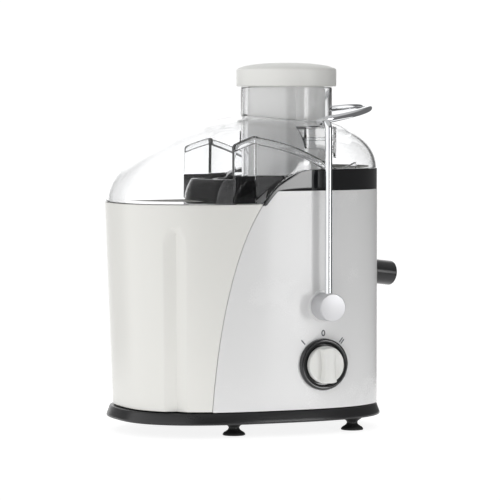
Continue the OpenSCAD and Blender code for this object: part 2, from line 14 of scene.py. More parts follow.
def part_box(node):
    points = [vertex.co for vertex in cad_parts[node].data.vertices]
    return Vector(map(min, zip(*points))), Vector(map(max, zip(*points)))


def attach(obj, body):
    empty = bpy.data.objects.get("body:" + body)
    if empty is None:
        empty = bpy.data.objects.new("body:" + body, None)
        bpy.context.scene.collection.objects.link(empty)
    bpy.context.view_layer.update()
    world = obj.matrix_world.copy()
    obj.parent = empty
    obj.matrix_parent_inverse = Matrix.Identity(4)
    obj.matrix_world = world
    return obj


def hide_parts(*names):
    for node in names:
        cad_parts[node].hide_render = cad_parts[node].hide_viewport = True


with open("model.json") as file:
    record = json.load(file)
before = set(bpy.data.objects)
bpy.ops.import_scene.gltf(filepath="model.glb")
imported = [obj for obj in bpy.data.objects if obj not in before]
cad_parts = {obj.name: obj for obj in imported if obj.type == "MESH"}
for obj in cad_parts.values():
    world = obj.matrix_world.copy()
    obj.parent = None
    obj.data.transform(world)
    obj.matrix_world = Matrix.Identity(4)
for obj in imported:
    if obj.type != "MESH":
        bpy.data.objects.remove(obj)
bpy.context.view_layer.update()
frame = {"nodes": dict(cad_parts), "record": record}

# ---------------------------------------------------------------- sizes, in millimetres


def box_mm(node):
    low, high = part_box(node)
    return low * 1000, high * 1000


def middle_mm(node):
    low, high = box_mm(node)
    return (low + high) / 2


PLINTH_FLARE = 2.5
plinth_low, plinth_high = box_mm("base_plinth")
BODY_X = (plinth_low.x + plinth_high.x) / 2
HALF_L = (plinth_high.x - plinth_low.x) / 2 - PLINTH_FLARE
HALF_D = (plinth_high.y - plinth_low.y) / 2 - PLINTH_FLARE
PLINTH_BOTTOM, PLINTH_TOP = plinth_low.z, plinth_high.z
HOUSING_TOP = box_mm("motor_housing")[1].z
BOWL_RIM = box_mm("juice_bowl")[1].z
CONTAINER_BOTTOM, CONTAINER_TOP = (corner.z for corner in box_mm("pulp_container"))
TUBE_BOTTOM, TUBE_TOP = (corner.z for corner in box_mm("lid"))
CAP_BOTTOM, CAP_TOP = (corner.z for corner in box_mm("pusher_cap"))
PUSHER_BOTTOM = box_mm("pusher_body")[0].z
AXIS_X = middle_mm("motor_shaft").x - BODY_X
PIVOT_Z = middle_mm("bail_cap_front").z
KNOB_Z = middle_mm("speed_knob").z
MIDDLE = Vector((0, 0, 0))

# The oval that the whole body follows, and the walls of its two white shells
OVAL = 2.7
SHELL_WALL = 3.0
CONTAINER_WALL = 2.5
CONTAINER_GAP = 0.7
BULGE = 4.0
LEAN = 7.5

# The curved seam between the container and the housing
SEAM_X, SEAM_Z, SEAM_W, SEAM_POWER = 38.0, -60.0, 100.5, 2.33
SEAM_H = BOWL_RIM - SEAM_Z
RIM_START = 200.8

# Bowl, duct and spout
BOWL_R, BOWL_WALL, BOWL_FLOOR, CUP_TOP = 67.0, 2.5, 125.0, 222.0
DUCT_CORNER, DUCT_END = Vector((-12, 56, 0)), Vector((-34, 61, 0))
DUCT_BOTTOM, DUCT_TOP, LIP_TOP = 203.5, 226.0, 222.5
COLLAR_R = 77.5
SPOUT_Z, SPOUT_DROOP, SPOUT_LENGTH = 139.0, radians(7), 37.4
SPOUT_HALF_W, SPOUT_HALF_H, SLOT_HALF = 15.2, 11.0, 17.0

# Lid, feed tube and pusher
DOME_TOP, LID_INSET, LID_WALL, LID_GAP = 278.0, 0.8, 2.5, 0.3
TUBE_R, TUBE_WALL = 41.0, 2.5
LEDGE_HALF, LEDGE_FRONT, LEDGE_R, SHELF_Z = 15.0, 76.0, 157.45, 259.5
PUSHER_R, GROOVE_DEPTH, GROOVE_HALF, GROOVE_TURN = 35.0, 2.6, 7.0, radians(-8)
CAP_R = 44.8

# Holes and pads in the housing
DRIVE_HOLE_R, INLET_R, PAD_R, PIN_R = 16.0, 5.3, 14.0, 4.0

# Bail and knob
WIRE_R, LEG_Y, BAIL_TOP, LOOP_R, BEND_R, LOOP_RISE = 3.15, 93.5, 273.0, 68.0, 7.0, radians(10)
PIVOT_CAP_R, PIVOT_CAP_BACK, PIVOT_CAP_FACE = 12.1, 82.5, 103.6
KNOB_R, KNOB_FACE, BEZEL_R, BEZEL_FACE = 17.2, 91.0, 22.7, 86.0

TO_FRAME = Matrix.Translation((BODY_X / 1000, 0, 0)) @ Matrix.Scale(0.001, 4)
ON_AXIS = Matrix.Translation((AXIS_X, 0, 0))


def clamp(value, low, high):
    return max(low, min(high, value))


def mix(a, b, share):
    return a + (b - a) * share


def between(share, stops):
    """Value on a line through (share, value) stops."""
    for (s0, v0), (s1, v1) in zip(stops, stops[1:]):
        if share <= s1:
            return mix(v0, v1, (share - s0) / (s1 - s0))
    return stops[-1][1]


# ---------------------------------------------------------------- curves that the shells follow


def oval_at(angle, half_l, half_d):
    """Point of the body's oval in a direction from its middle."""
    c, s = cos(angle), sin(angle)
    reach = (abs(c / half_l) ** OVAL + abs(s / half_d) ** OVAL) ** (-1 / OVAL)
    return Vector((reach * c, reach * s, 0))


def oval_reach(ray):
    """Distance from the bowl's axis to the body's oval along a ray."""
    far = 2 * HALF_L

    def outside(share):
        x, y = AXIS_X + far * share * ray.x, far * share * ray.y
        return abs(x / HALF_L) ** OVAL + abs(y / HALF_D) ** OVAL > 1

    return far * first_share(outside)


def oval_depth(x, half_l=HALF_L, half_d=HALF_D):
    return half_d * max(0.0, 1 - abs(x / half_l) ** OVAL) ** (1 / OVAL)


def seam_height(x, grow=0.0):
    u = clamp((SEAM_X - x) / (SEAM_W + grow), 0, 1)
    return SEAM_Z + (SEAM_H + grow) * (1 - u ** SEAM_POWER) ** (1 / SEAM_POWER)


def seam_reach(z, grow=0.0):
    """How far along the front the seam is at height z."""
    v = clamp((z - SEAM_Z) / (SEAM_H + grow), 0, 1)
    return SEAM_X - (SEAM_W + grow) * (1 - v ** SEAM_POWER) ** (1 / SEAM_POWER)


def lid_gauge(x, y, inset=0.0):
    """1 on the lid's rim, and less inside it."""
    half_l = HALF_L - LID_INSET - inset + (BULGE if x < 0 else 0)
    half_d = HALF_D - LID_INSET - inset
    return (abs(x / half_l) ** OVAL + abs(y / half_d) ** OVAL) ** (1 / OVAL)


def dome_height(x, y, inset=0.0):
    rho = max(lid_gauge(x, y, inset), 1e-6)
    edge_x = x / rho
    low = max(CONTAINER_TOP + 0.5, seam_height(edge_x)) + LID_GAP
    power = 2.6 + 0.85 * edge_x / HALF_L
    return low + (DOME_TOP - inset - low) * sqrt(max(0.0, 1 - min(rho, 1.0) ** power))


def first_share(test):
    """Share from 0 to 1 at which test turns true."""
    low, high = 0.0, 1.0
    for _ in range(40):
        mid = (low + high) / 2
        low, high = (low, mid) if test(mid) else (mid, high)
    return high


# ---------------------------------------------------------------- making a mesh


class Shape:
    """A mesh in the making, in millimetres."""

    def __init__(self):
        self.bm = bmesh.new()

    def sheet(self, across, along, place):
        """A grid bent to shape: place(u, v) gives a point for u and v from 0 to 1."""
        made = bmesh.ops.create_grid(self.bm, x_segments=across, y_segments=along, size=0.5)
        for vert in made["verts"]:
            vert.co = place(clamp(vert.co.x + 0.5, 0, 1), clamp(vert.co.y + 0.5, 0, 1))
        return made["verts"]

    def turned(self, profile, where=Matrix(), steps=96, closed=False):
        """A profile of (radius, height) points, spun about its upright axis and put in its place."""
        before = set(self.bm.verts)
        line = [self.bm.verts.new((radius, 0, height)) for radius, height in profile]
        pairs = list(zip(line, line[1:])) + ([(line[-1], line[0])] if closed else [])
        edges = [self.bm.edges.new(pair) for pair in pairs]
        bmesh.ops.spin(
            self.bm, geom=line + edges, cent=MIDDLE, axis=(0, 0, 1), angle=2 * pi, steps=steps,
            use_merge=True,
        )
        made = [vert for vert in self.bm.verts if vert not in before]
        bmesh.ops.transform(self.bm, matrix=where, verts=made)
        return made

    def block(self, low, high):
        size, centre = Vector(high) - Vector(low), (Vector(high) + Vector(low)) / 2
        matrix = Matrix.Translation(centre) @ Matrix.Diagonal((*size, 1))
        return bmesh.ops.create_cube(self.bm, size=1, matrix=matrix)["verts"]

    def mirrored(self):
        """Adds the same shape on the other side of the middle plane."""
        everything = self.bm.verts[:] + self.bm.edges[:] + self.bm.faces[:]
        bmesh.ops.mirror(self.bm, geom=everything, axis="Y", merge_dist=0.001)
        return self

    def closed_up(self):
        """Merges seams and poles and turns the faces outwards."""
        bmesh.ops.remove_doubles(self.bm, verts=self.bm.verts, dist=0.002)
        bmesh.ops.dissolve_degenerate(self.bm, dist=0.001, edges=self.bm.edges)
        bmesh.ops.delete(self.bm, geom=[v for v in self.bm.verts if not v.link_faces], context="VERTS")
        bmesh.ops.recalc_face_normals(self.bm, faces=self.bm.faces)
        return self

    def object(self, name):
        self.closed_up()
        self.bm.transform(TO_FRAME)
        mesh = bpy.data.meshes.new(name)
        self.bm.to_mesh(mesh)
        self.bm.free()
        made = bpy.data.objects.new(name, mesh)
        bpy.context.scene.collection.objects.link(made)
        return made


def rounded(points, setback, steps=4, closed=False):
    """The same outline with its corners rounded from a setback on either side."""
    done, count = [], len(points)
    for i, point in enumerate(points):
        at = Vector(point)
        if not closed and i in (0, count - 1):
            done.append(tuple(at))
            continue
        back, on = Vector(points[i - 1]) - at, Vector(points[(i + 1) % count]) - at
        start = at + back.normalized() * min(setback, back.length * 0.45)
        end = at + on.normalized() * min(setback, on.length * 0.45)
        for k in range(steps + 1):
            t = k / steps
            done.append(tuple(start * (1 - t) ** 2 + at * 2 * t * (1 - t) + end * t * t))
    return done


def applied(made):
    """Makes an object's modifiers part of its mesh."""
    seen = made.evaluated_get(bpy.context.evaluated_depsgraph_get())
    mesh = bpy.data.meshes.new_from_object(seen)
    made.modifiers.clear()
    made.data = mesh


def shaded(made, sharp):
    """Smooth shading that breaks where faces meet at more than the sharp angle."""
    bm = bmesh.new()
    bm.from_mesh(made.data)
    for face in bm.faces:
        face.smooth = True
    for edge in bm.edges:
        edge.smooth = edge.calc_face_angle(0) < radians(sharp)
    bm.to_mesh(made.data)
    bm.free()


def piece(shape, name, body, finish, stands_for=(), wall=0.0, edge=0.0, cutters=(), sharp=38):
    """Finishes a piece: its wall, its cut-outs, its rounded edges, its finish and its place on a body."""
    made = shape.object(name)
    if wall:
        solidify = made.modifiers.new("wall", "SOLIDIFY")
        solidify.thickness, solidify.offset = wall / 1000, -1
        solidify.use_even_offset = solidify.use_quality_normals = True
    tools = [cutter.object(name + "_cutter") for cutter in cutters]
    for tool in tools:
        cut = made.modifiers.new("cut", "BOOLEAN")
        cut.operation, cut.solver, cut.object = "DIFFERENCE", "EXACT", tool
    if edge:
        bevel = made.modifiers.new("edge", "BEVEL")
        bevel.width, bevel.segments, bevel.limit_method = edge / 1000, 3, "ANGLE"
        bevel.angle_limit = radians(sharp)
    if made.modifiers:
        applied(made)
    for tool in tools:
        bpy.data.objects.remove(tool)
    shaded(made, sharp)
    made.data.materials.clear()
    made.data.materials.append(finish)
    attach(made, body)
    if stands_for:
        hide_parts(*stands_for)
    return made


# ---------------------------------------------------------------- finishes


class Flow:
    """A value that varies over a surface. Its operators add the Math nodes."""

    def __init__(self, nodes, socket):
        self.nodes, self.socket = nodes, socket

    def __add__(self, other):
        return self.nodes.maths("ADD", self, other)

    def __sub__(self, other):
        return self.nodes.maths("SUBTRACT", self, other)

    def __rsub__(self, other):
        return self.nodes.maths("SUBTRACT", other, self)

    def __mul__(self, other):
        return self.nodes.maths("MULTIPLY", self, other)

    def __pow__(self, other):
        return self.nodes.maths("POWER", self, other)

    def __gt__(self, other):
        return self.nodes.maths("GREATER_THAN", self, other)

    def __lt__(self, other):
        return self.nodes.maths("LESS_THAN", self, other)

    __radd__ = __add__
    __rmul__ = __mul__


class Nodes:
    """Adds nodes to a finish or to the studio's light."""

    def __init__(self, tree):
        self.tree = tree

    def feed(self, socket, value):
        value = value.socket if isinstance(value, Flow) else value
        if isinstance(value, bpy.types.NodeSocket):
            self.tree.links.new(value, socket)
        else:
            socket.default_value = value

    def add(self, kind, settings=None, inputs=None, output=0):
        node = self.tree.nodes.new(kind)
        for name, value in (settings or {}).items():
            setattr(node, name, value)
        for name, value in (inputs or {}).items():
            self.feed(node.inputs[name], value)
        return Flow(self, node.outputs[output])

    def maths(self, operation, *values):
        return self.add("ShaderNodeMath", {"operation": operation}, dict(enumerate(values)))

    def ripple(self, phase):
        """A wave from 0 to 1."""
        return self.maths("SINE", phase) * 0.5 + 0.5

    def blend(self, share, first, second):
        """Colour between two others."""
        inputs = {"Factor": share, "A": first, "B": second}
        return self.add("ShaderNodeMix", {"data_type": "RGBA"}, inputs, output="Result")

    def noise(self, point, scale, detail=2.0, roughness=0.5):
        inputs = {"Vector": point, "Scale": scale, "Detail": detail, "Roughness": roughness}
        return self.add("ShaderNodeTexNoise", None, inputs)

    def stretched(self, point, scale=(1, 1, 1), move=(0, 0, 0)):
        return self.add("ShaderNodeMapping", None, {"Vector": point, "Scale": scale, "Location": move})

    def apart(self, vector):
        made = self.add("ShaderNodeSeparateXYZ", None, {"Vector": vector})
        outputs = made.socket.node.outputs
        return [Flow(self, outputs[axis]) for axis in "XYZ"]

    def smooth_step(self, value, low, high):
        return self.add(
            "ShaderNodeMapRange",
            {"interpolation_type": "SMOOTHSTEP"},
            {"Value": value, "From Min": low, "From Max": high},
        )


class Finish(Nodes):
    """A material on one shader, with sockets set by name."""

    def __init__(self, name, **fixed):
        self.material = bpy.data.materials.new(name)
        self.material.use_nodes = True
        super().__init__(self.material.node_tree)
        self.shader = self.tree.nodes["Principled BSDF"]
        self.point = self.add("ShaderNodeTexCoord", output="Object")
        for socket, value in fixed.items():
            self.set(socket.replace("_", " "), value)

    def set(self, socket, value):
        self.feed(self.shader.inputs[socket], value)

    def bump(self, height, strength, distance):
        inputs = {"Height": height, "Strength": strength, "Distance": distance}
        self.set("Normal", self.add("ShaderNodeBump", None, inputs, output="Normal"))


def tone(colour, share=1.0):
    return tuple(channel * share for channel in colour[:3]) + (1.0,)


def moulded(name, colour, roughness, grain=0.06, cloud=0.03, **fixed):
    """Moulded plastic: slightly cloudy colour, uneven gloss and the faint skin of the mould."""
    made = Finish(name, **fixed)
    clouds = made.noise(made.point, 16, 4)
    skin = made.noise(made.point, 1300, 3)
    made.set("Base Color", made.blend(clouds, tone(colour, 1 - cloud), tone(colour, 1 + cloud)))
    made.set("Roughness", roughness + (clouds - 0.5) * 0.10 + (skin - 0.5) * 0.04)
    made.bump(skin, grain, 0.00012)
    return made.material


def clear_plastic():
    """Clear lid: polished outside, with faint wipe marks that dull it a little."""
    made = Finish("clear_plastic", IOR=1.47, Specular_IOR_Level=0.22)
    made.set("Transmission Weight", 1.0)
    wipes = made.noise(made.stretched(made.point, (30, 30, 6)), 2.4, 5, 0.6)
    made.set("Base Color", made.blend(wipes, (0.985, 0.988, 0.992, 1), (0.995, 0.997, 1.0, 1)))
    made.set("Roughness", 0.004 + (wipes ** 3.0) * 0.05)
    return made.material


def brushed(name, colour, roughness, stretch=(1, 1, 60)):
    """Metal with fine brush lines along one direction."""
    made = Finish(name, Metallic=1.0)
    lines = made.noise(made.stretched(made.point, stretch), 260, 4, 0.6)
    made.set("Base Color", made.blend(lines, tone(colour, 0.88), tone(colour, 1.08)))
    made.set("Roughness", roughness + (lines - 0.5) * 0.18)
    made.bump(lines, 0.12, 0.00008)
    return made.material


def polished(name, colour, roughness):
    """Plated wire: mirror bright, with a few fine rubbed places."""
    made = Finish(name, Metallic=1.0)
    rubs = made.noise(made.stretched(made.point, (8, 8, 2)), 30, 5, 0.65)
    made.set("Base Color", made.blend(rubs, tone(colour, 0.96), tone(colour, 1.04)))
    made.set("Roughness", roughness + (rubs ** 4.0) * 0.22)
    return made.material


def faced(name, colour, centre):
    """Silver cap turned on a lathe: a fine ring every 0.7 mm on its face, round its own axis."""
    made = Finish(name, Metallic=1.0)
    x, _, z = made.apart(made.stretched(made.point, move=(-centre.x, 0, -centre.z)))
    radius = (x * x + z * z) ** 0.5
    ring_phase = 9000.0
    rings = made.ripple(radius * ring_phase)
    grain = made.noise(made.point, 900, 2)
    made.set("Base Color", made.blend(rings, tone(colour, 0.96), tone(colour, 1.03)))
    made.set("Roughness", 0.38 + rings * 0.05 + grain * 0.06)
    made.bump(rings * 0.5 + grain * 0.5, 0.10, 0.00005)
    return made.material


def cast(name, colour):
    """Sand-cast metal: coarse, dull skin."""
    made = Finish(name, Metallic=1.0)
    pits = made.noise(made.point, 700, 6, 0.7)
    made.set("Base Color", made.blend(pits, tone(colour, 0.8), tone(colour, 1.1)))
    made.set("Roughness", 0.42 + pits * 0.22)
    made.bump(pits, 0.5, 0.0003)
    return made.material


def layered(name, colour, pitch, metallic=1.0, roughness=0.4):
    """Stacked sheets or wound wire: lines that repeat up the piece."""
    made = Finish(name, Metallic=metallic)
    _, _, height = made.apart(made.point)
    drift = made.noise(made.point, 90, 2) * 0.8
    lines = made.ripple(height * (2 * pi / pitch) + drift)
    made.set("Base Color", made.blend(lines, tone(colour, 0.45), tone(colour, 1.1)))
    made.set("Roughness", roughness + lines * 0.12)
    made.bump(lines, 0.6, 0.0002)
    return made.material


def perforated(name, colour, centre_x, pitch, top, bottom):
    """Steel sheet with staggered rows of fine holes, between two plain edges."""
    made = Finish(name, Metallic=1.0)
    x, y, z = made.apart(made.stretched(made.point, move=(-centre_x, 0, 0)))
    middle_r, rows_in_pitch, hole_size = 0.0535, 1.15, 0.085
    across = made.maths("ARCTAN2", y, x) * (middle_r / pitch)
    up = z * (rows_in_pitch / pitch)
    stagger = made.maths("MODULO", made.maths("FLOOR", up), 2.0) * 0.5
    u = made.maths("FRACT", across + stagger) - 0.5
    v = made.maths("FRACT", up) - 0.5
    hole = (u * u + v * v) < hole_size
    field = (z > bottom) * (z < top)
    lines = made.noise(made.stretched(made.point, (40, 40, 1)), 60, 3)
    made.set("Base Color", made.blend(lines, tone(colour, 0.85), tone(colour, 1.05)))
    made.set("Roughness", 0.28 + lines * 0.14)
    made.set("Alpha", 1 - hole * field)
    return made.material


WARM_WHITE = (0.83, 0.825, 0.79)
COOL_WHITE = (0.80, 0.80, 0.80)
CAP_WHITE = (0.90, 0.90, 0.87)
GLOSS_BLACK = (0.008, 0.008, 0.009)
STEEL = (0.62, 0.62, 0.63)
SILVER = (0.66, 0.66, 0.675)
PLAIN_EDGE = 0.004
mesh_low, mesh_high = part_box("basket_mesh")

FINISHES = {
    "housing_white": moulded("housing_white", COOL_WHITE, 0.26, grain=0.04, cloud=0.012, Coat_Weight=0.25),
    "container_white": moulded("container_white", WARM_WHITE, 0.33, grain=0.05, cloud=0.015),
    "trim_white": moulded("trim_white", CAP_WHITE, 0.42, grain=0.10, cloud=0.015),
    "satin_black": moulded("satin_black", (0.015, 0.015, 0.016), 0.29, grain=0.25, cloud=0.15),
    "gloss_black": moulded("gloss_black", GLOSS_BLACK, 0.10, grain=0.02, cloud=0.10, Coat_Weight=0.4),
    "clear_plastic": clear_plastic(),
    "black_rubber": moulded("black_rubber", (0.007, 0.007, 0.007), 0.55, grain=0.4, cloud=0.2),
    "pale_rubber": moulded("pale_rubber", (0.62, 0.62, 0.58), 0.6, grain=0.3, cloud=0.05),
    "steel": brushed("steel", STEEL, 0.26),
    "chrome_wire": polished("chrome_wire", (0.86, 0.87, 0.89), 0.045),
    "satin_silver": faced("satin_silver", SILVER, middle_mm("bail_cap_front") / 1000),
    "cast_aluminium": cast("cast_aluminium", (0.52, 0.53, 0.55)),
    "laminations": layered("laminations", (0.30, 0.30, 0.31), 0.0009),
    "copper": layered("copper", (0.72, 0.33, 0.14), 0.0011, roughness=0.28),
    "carbon": moulded("carbon", (0.03, 0.03, 0.032), 0.5, grain=0.5, cloud=0.3),
    "inner_plastic": moulded("inner_plastic", (0.035, 0.035, 0.038), 0.45, grain=0.3, cloud=0.1),
    "inner_white": moulded("inner_white", (0.74, 0.74, 0.70), 0.4, grain=0.12, cloud=0.03),
    "filter_yellow": moulded("filter_yellow", (0.62, 0.47, 0.07), 0.3, grain=0.1, cloud=0.06),
    "wire_red": moulded("wire_red", (0.32, 0.03, 0.025), 0.38, grain=0.1, cloud=0.08),
}
FILTER_SHEET = perforated(
    "filter_sheet", STEEL, (AXIS_X + BODY_X) / 1000, 0.0016,
    top=mesh_high.z - PLAIN_EDGE, bottom=mesh_low.z + PLAIN_EDGE,
)
MARK_INK = moulded("mark_ink", (0.10, 0.105, 0.12), 0.45, grain=0.1, cloud=0.05)
# Lit copy of the trim white for the pusher column: a brighter colour and a faint glow, painted light that
# makes up for the light the clear feed tube holds back
PUSHER_PAINTED_GLOW_WHITE = moulded(
    "pusher_painted_glow_white", (0.92, 0.92, 0.905), 0.34, grain=0.06, cloud=0.015, Emission_Strength=0.15,
    Emission_Color=(1, 1, 1, 1),
)
KNOB_WHITE = moulded("knob_white", (0.79, 0.79, 0.765), 0.30, grain=0.06, cloud=0.015, Coat_Weight=0.15)

# ---------------------------------------------------------------- housing and plinth


def step_rows(low, high, count, step):
    """Heights of a wall's rows, with two close together at a step."""
    rows = [mix(low, high, i / count) for i in range(count + 1)]
    return sorted([z for z in rows if abs(z - step) > 1] + [step - 0.3, step + 0.3])


def sideways(x, y, z, way):
    """Place for a profile turned about the depth: it grows to the front for way -1, to the rear for 1."""
    return Matrix.Translation((x, y, z)) @ Matrix.Rotation(-way * pi / 2, 4, "X")


def bowl_tunnel(radius, low):
    """Cutter for the round space that the bowl stands in."""
    cutter = Shape()
    cutter.turned([(0, low), (radius, low), (radius, low + 150), (0, low + 150)], ON_AXIS, 128)
    return cutter


def housing():
    """White shell round the motor, cut out for the bowl, the spout and the cord inlet."""
    rows = step_rows(PLINTH_TOP + 1, HOUSING_TOP, 46, RIM_START)
    last = len(rows) - 1

    def seam_at(z):
        return seam_reach(z, -SHELL_WALL if z > RIM_START else 0.0)

    def side(u, v):
        z = rows[round(v * last)]
        x = seam_at(z)
        start = atan2(-oval_depth(x), x)
        return oval_at(mix(start, -start, u), HALF_L, HALF_D) + Vector((0, 0, z))

    def seam_wall(u, v):
        z = rows[round(v * last)]
        x = seam_at(z)
        return Vector((x, oval_depth(x) * (2 * u - 1), z))

    shape = Shape()
    shape.sheet(220, last, side)
    shape.sheet(24, last, seam_wall)
    slot, inlet = Shape(), Shape()
    slot.block((HALF_L - 14, -SLOT_HALF, BOWL_FLOOR - 0.5), (HALF_L + 20, SLOT_HALF, HOUSING_TOP + 20))
    hole = middle_mm("cord_inlet")
    where = sideways(hole.x - BODY_X, HALF_D + 10, hole.z, -1)
    inlet.turned([(0, 0), (INLET_R, 0), (INLET_R, 30), (0, 30)], where, 48)
    cutters = [bowl_tunnel(BOWL_R + 1, BOWL_FLOOR - 1), slot, inlet]
    piece(
        shape, "housing_shell", "base", FINISHES["housing_white"],
        ["motor_housing"], wall=SHELL_WALL, edge=0.7, cutters=cutters,
    )
    pivot_pads()
    deck()


def pivot_pads():
    """Flat round pads that the bail's two caps turn on."""
    inner, thick, sunk = PIN_R + 0.1, 11.7, 12
    profile = rounded([(inner, 0), (PAD_R, 0), (PAD_R, thick), (inner, thick)], 0.5, closed=True)
    for name, side in (("pivot_pad_front", -1), ("pivot_pad_rear", 1)):
        shape = Shape()
        where = sideways(AXIS_X, side * (HALF_D - sunk), PIVOT_Z, side)
        shape.turned(profile, where, 96, closed=True)
        piece(shape, name, "base", FINISHES["housing_white"])


def deck():
    """Floor over the motor, with a round hole for the drive."""
    z, thick = BOWL_FLOOR - 4, 3.0
    x = seam_reach(z + thick / 2) + 2
    half_l, half_d = HALF_L - 2, HALF_D - 2
    start = atan2(-oval_depth(x, half_l, half_d), x)

    def hole_to(point, v):
        centre = Vector((AXIS_X, 0, 0))
        edge = centre + (point - centre).normalized() * DRIVE_HOLE_R
        return mix(edge, point, v) + Vector((0, 0, z + thick))

    shape = Shape()
    shape.sheet(96, 6, lambda u, v: hole_to(oval_at(mix(start, -start, u), half_l, half_d), v))
    shape.sheet(24, 6, lambda u, v: hole_to(Vector((x, oval_depth(x, half_l, half_d) * (1 - 2 * u), 0)), v))
    piece(shape, "motor_deck", "base", FINISHES["housing_white"], wall=thick, edge=0.4)


def plinth():
    """Flared ring with a flat top, hollow below, and slots that let air in under the motor."""
    low, top = PLINTH_BOTTOM, PLINTH_TOP
    flare = [
        (-0.9, top), (-0.4, top - 0.15), (0.0, top - 0.8), (0.9, top - 3.6), (1.9, top - 6.2),
        (2.4, top - 7.8), (2.5, top - 8.7), (2.3, low + 0.5), (1.7, low + 0.1), (0.8, low), (-3.4, low),
        (-4, low + 0.6), (-4, top - 3),
    ]
    profile = [(0, 0, top)] + [(1, grow, z) for grow, z in flare] + [(0, 0, top - 3)]
    last = len(profile) - 1

    def place(u, v):
        share, grow, z = profile[round(v * last)]
        return oval_at(2 * pi * u, HALF_L + grow, HALF_D + grow) * share + Vector((0, 0, z))

    shape = Shape()
    shape.sheet(240, last, place)
    slots, pitch, half_w, half_l = Shape(), 7, 1.5, 22
    for x in (AXIS_X + pitch * i for i in range(-4, 5)):
        slots.block((x - half_w, -half_l, low), (x + half_w, half_l, top + 5))
    piece(
        shape, "plinth_ring", "base", FINISHES["satin_black"], ["base_plinth"],
        cutters=[slots], sharp=50,
    )


def feet():
    """Soft suction cups on narrow necks."""
    low, neck = 0.0, PLINTH_BOTTOM
    profile = [(0, 3.2), (4, 2.8), (6.5, 1.4), (7.9, 0.15), (8.6, low), (9.5, 0.05), (10, 0.5), (9.9, 1.2),
               (9.0, 2.5), (7.0, 3.7), (5.3, 5.0), (4.7, 6.4), (5.1, 7.8), (6.6, 9.0), (8.2, neck - 0.9),
               (8.5, neck - 0.1), (3.4, neck + 0.1), (3.4, neck + 6.4), (0, neck + 6.4)]
    for name in ("foot_front_left", "foot_front_right", "foot_rear_left", "foot_rear_right"):
        at = middle_mm(name)
        shape = Shape()
        shape.turned(profile, Matrix.Translation((at.x - BODY_X, at.y, 0)), 64)
        piece(shape, name + "_cup", "base", FINISHES["black_rubber"], [name], sharp=60)


# ---------------------------------------------------------------- pulp container


def container():
    """White bin with a finger recess on both sides and a cut-out for the bowl."""
    grip, grip_top, grip_half, grip_depth = Vector((-91.5, 65.5, 0)), 179.0, 10.0, 4.4
    grip_angle, grip_spread = atan2(grip.y, grip.x), radians(6.2)
    along, inward = Vector((0.766, 0.643, 0)), Vector((0.643, -0.766, 0))

    def side(u, z):
        """Point of the side wall: u runs from the front seam round the left end to the rear seam."""
        half_l = HALF_L + BULGE - LEAN * (CONTAINER_TOP - z) / (CONTAINER_TOP - CONTAINER_BOTTOM)
        x = seam_reach(z, CONTAINER_GAP)
        start = atan2(oval_depth(x, half_l), x)
        share, way = 1 - abs(2 * u - 1), (-1 if u < 0.5 else 1)
        angle = between(share, [
            (0, start), (0.3, grip_angle - grip_spread), (0.5, grip_angle),
            (0.7, grip_angle + grip_spread), (1, pi),
        ])
        point = oval_at(angle, half_l, HALF_D)
        rise = clamp((z - grip_top + grip_half) / grip_half, 0, 1)
        half = grip_half * sqrt(1 - rise * rise) + 1e-6
        dent = grip_depth * max(0.0, 1 - abs((point - grip).dot(along)) / half) * min(1, half / 5)
        point += inward * dent
        return Vector((point.x, way * point.y, z))

    def chord(u, z):
        front, rear = side(0, z), side(1, z)
        return mix(front, rear, u)

    def height(v):
        return mix(CONTAINER_BOTTOM, CONTAINER_TOP, v)

    middle = Vector((-85, 0, CONTAINER_BOTTOM))
    shape = Shape()
    shape.sheet(240, 44, lambda u, v: side(u, height(v)))
    shape.sheet(16, 44, lambda u, v: chord(u, height(v)))
    shape.sheet(240, 3, lambda u, v: mix(middle, side(u, CONTAINER_BOTTOM), v))
    shape.sheet(16, 3, lambda u, v: mix(middle, chord(u, CONTAINER_BOTTOM), v))
    notch = bowl_tunnel(BOWL_R + 1.5, 100)
    piece(
        shape, "container_shell", "container", FINISHES["container_white"],
        ["pulp_container"], wall=CONTAINER_WALL, edge=0.8, cutters=[notch], sharp=30,
    )


# ---------------------------------------------------------------- juice bowl


def bowl():
    """Glossy black bowl: a round cup under an oval band, with a duct to the container and a spout."""
    first, across = seam_reach(RIM_START), 140
    start = atan2(-oval_depth(first), first - AXIS_X)
    rays = [Vector((cos(a), sin(a), 0)) for a in (start * (1 - i / across) for i in range(across + 1))]
    reaches = [oval_reach(ray) for ray in rays]

    def at(u, v, reach):
        i = round(u * across)
        return rays[i] * mix(reaches[i], reach, v) + Vector((AXIS_X, 0, 0))

    def band(u, v):
        point = at(u, 0, 0)
        top = seam_height(point.x)
        low = clamp(seam_height(point.x, -BOWL_WALL - 0.4), RIM_START - 0.5, HOUSING_TOP + 0.05)
        point.z = mix(min(low, top), top, v)
        return point

    def roof(u, v):
        point = at(u, v, BOWL_R - 1)
        point.z = seam_height(point.x)
        return point

    shape = Shape()
    shape.sheet(across, 5, band)
    shape.sheet(across, 8, roof)
    shape.mirrored()
    piece(
        shape, "bowl_band", "base", FINISHES["gloss_black"],
        ["juice_bowl"], wall=BOWL_WALL, edge=0.5,
    )
    bowl_cup()
    bowl_duct()
    bowl_lip()
    spout()


